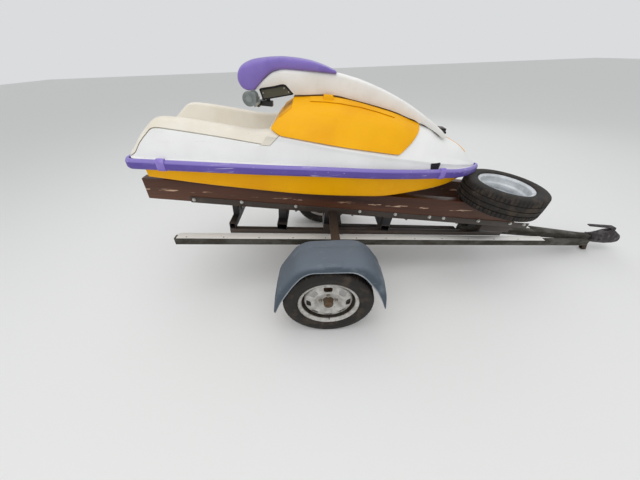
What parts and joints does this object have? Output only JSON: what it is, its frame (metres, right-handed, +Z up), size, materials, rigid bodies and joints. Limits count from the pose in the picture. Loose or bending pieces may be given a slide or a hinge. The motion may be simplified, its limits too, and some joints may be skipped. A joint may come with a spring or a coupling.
{
  "type": "stand-up personal watercraft on a single-axle trailer",
  "caption": "Stand-up personal watercraft with lifting handle pole, on timber bunks of a small single-axle trailer parked nose-down on its foot.",
  "frame": {"origin": "on the ground, at the middle of the overall box", "axes": "+X forward to the coupling, +Y to port, +Z up"},
  "size_m": [3.869, 1.532, 1.5244],
  "materials": {
    "hull_gelcoat_yellow": "gloss gelcoat on glass fibre, scuffed",
    "deck_gelcoat_white": "gloss gelcoat on glass fibre, chalky",
    "tray_gelcoat_cream": "gelcoat yellowed and dirty",
    "hood_gelcoat_yellow": "gloss gelcoat on glass fibre",
    "bumper_vinyl_purple": "extruded vinyl, semi-gloss, scraped",
    "clip_plastic_lilac": "moulded plastic, sun-faded",
    "pole_gelcoat_white": "gelcoat, stained below",
    "pad_vinyl_purple": "vinyl skin over foam, satin",
    "black_bracket": "satin black",
    "bar_steel": "black coated tube",
    "grip_rubber": "matt rubber",
    "grey_plastic": "moulded plastic",
    "engine_aluminium": "cast, dull",
    "pump_aluminium": "cast, dull",
    "impeller_steel": "machined",
    "nozzle_plastic": "black moulded",
    "galvanised_steel": "hot-dip galvanised, weathered",
    "strip_painted_white": "white sheet cap, riveted",
    "coupling_steel": "pressed and cast steel, weathered",
    "rusty_steel": "rusty",
    "black_steel": "black brushed paint",
    "bunk_timber": "stained timber, chipped",
    "tyre": "worn, dusty",
    "wheel_steel": "silver paint, rusty at the lip",
    "mudguard_plastic": "blue-grey moulded plastic, chalky"
  },
  "bodies": {
    "craft_and_trailer": {"hull_bottom": "hull_gelcoat_yellow", "deck": "deck_gelcoat_white", "tray_liner": "tray_gelcoat_cream", "hood": "hood_gelcoat_yellow", "hood_latch": "hood_gelcoat_yellow", "bumper_stern": "bumper_vinyl_purple", "bumper_bow": "bumper_vinyl_purple", "bumper_side_starboard": "bumper_vinyl_purple", "bumper_side_port": "bumper_vinyl_purple", "bumper_clips": "clip_plastic_lilac", "pole_bracket": "black_bracket", "engine_block": "engine_aluminium", "pump_housing": "pump_aluminium", "ride_plate": "pump_aluminium", "intake_grate": "pump_aluminium", "rail_starboard": "galvanised_steel", "rail_port": "galvanised_steel", "rail_strip_starboard": "strip_painted_white", "rail_strip_port": "strip_painted_white", "drawbar": "galvanised_steel", "coupling_head": "coupling_steel", "coupling_handle": "coupling_steel", "prop_foot": "rusty_steel", "centre_spar": "black_steel", "frame_beam_starboard": "black_steel", "frame_beam_port": "black_steel", "crossmember_aft": "black_steel", "crossmember_middle": "black_steel", "crossmember_fore": "black_steel", "axle_saddle": "black_steel", "front_support": "black_steel", "bunk_starboard": "bunk_timber", "bunk_port": "bunk_timber", "bunk_steel_starboard": "black_steel", "bunk_steel_port": "black_steel", "axle_tube": "galvanised_steel", "axle_arms": "black_steel", "spare_tyre": "tyre", "spare_rim": "wheel_steel", "mudguard_starboard": "mudguard_plastic", "mudguard_port": "mudguard_plastic", "mudguard_bracket_starboard": "black_steel", "mudguard_bracket_port": "black_steel"},
    "wheel_starboard": {"tyre_starboard": "tyre", "rim_starboard": "wheel_steel"},
    "wheel_port": {"tyre_port": "tyre", "rim_port": "wheel_steel"},
    "pole": {"handle_pole": "pole_gelcoat_white", "chin_pad": "pad_vinyl_purple", "steering_head": "black_bracket"},
    "bars": {"handlebar": "bar_steel", "grips": "grip_rubber", "switch_housing": "grey_plastic", "throttle_lever": "grey_plastic"},
    "nozzle": {"steering_nozzle": "nozzle_plastic"},
    "impeller_shaft": {"impeller": "impeller_steel"}
  },
  "joints": [
    {"name": "wheel_starboard_spin", "type": "hinge", "parent": "craft_and_trailer", "child": "wheel_starboard", "pos_m": [-0.75339, -0.6635, 0.2915], "axis": [0, 1, 0], "continuous": true},
    {"name": "wheel_port_spin", "type": "hinge", "parent": "craft_and_trailer", "child": "wheel_port", "pos_m": [-0.75339, 0.6635, 0.2915], "axis": [0, 1, 0], "continuous": true},
    {"name": "pole_lift", "type": "hinge", "parent": "craft_and_trailer", "child": "pole", "pos_m": [0.02107, 0, 1.11249], "axis": [0, 1, 0], "range_deg": [0, 65]},
    {"name": "bar_steer", "type": "hinge", "parent": "pole", "child": "bars", "pos_m": [-1.0715, 0, 1.31414], "axis": [0.1219, 0, 0.9925], "range_deg": [-40, 40]},
    {"name": "nozzle_steer", "type": "hinge", "parent": "craft_and_trailer", "child": "nozzle", "pos_m": [-1.82495, 0, 1.00365], "axis": [0.1219, 0, 0.9925], "range_deg": [-20, 20]},
    {"name": "impeller_spin", "type": "hinge", "parent": "craft_and_trailer", "child": "impeller_shaft", "pos_m": [-1.6463, 0, 0.98172], "axis": [0.9925, 0, -0.1219], "continuous": true}
  ],
  "couplings": [
    {"joint": "nozzle_steer", "follows": "bar_steer", "ratio": -0.5}
  ]
}
